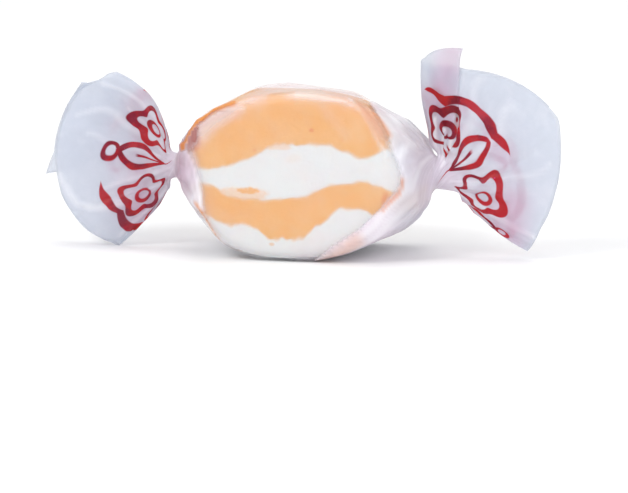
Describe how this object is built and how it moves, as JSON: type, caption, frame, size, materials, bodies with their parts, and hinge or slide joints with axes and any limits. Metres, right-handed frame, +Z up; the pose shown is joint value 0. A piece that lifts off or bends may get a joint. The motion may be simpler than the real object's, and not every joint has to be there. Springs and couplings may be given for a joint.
{
  "type": "wrapped salt water taffy",
  "caption": "Thick disc of layered orange and white taffy on its edge, in translucent waxed paper twisted into an open fan at each end.",
  "frame": {"origin": "middle of the small flat spot of paper that the piece rests on, under the middle of the lump", "axes": "+X along the twist towards the right tail, -Y out of the layered cut face that shows, +Z up"},
  "size_m": [0.0679, 0.0194, 0.0269],
  "materials": {
    "orange_taffy": "soft chewy candy, satin, slightly waxy",
    "white_taffy": "soft chewy candy, satin, slightly waxy",
    "waxed_paper": "thin translucent waxed paper with a soft sheen and a printed crimson ornament on the tails"
  },
  "bodies": {
    "root": {"taffy_orange_top": "orange_taffy", "taffy_white_middle": "white_taffy", "taffy_orange_lower": "orange_taffy", "taffy_white_bottom": "white_taffy", "wrapper": "waxed_paper"}
  },
  "joints": []
}
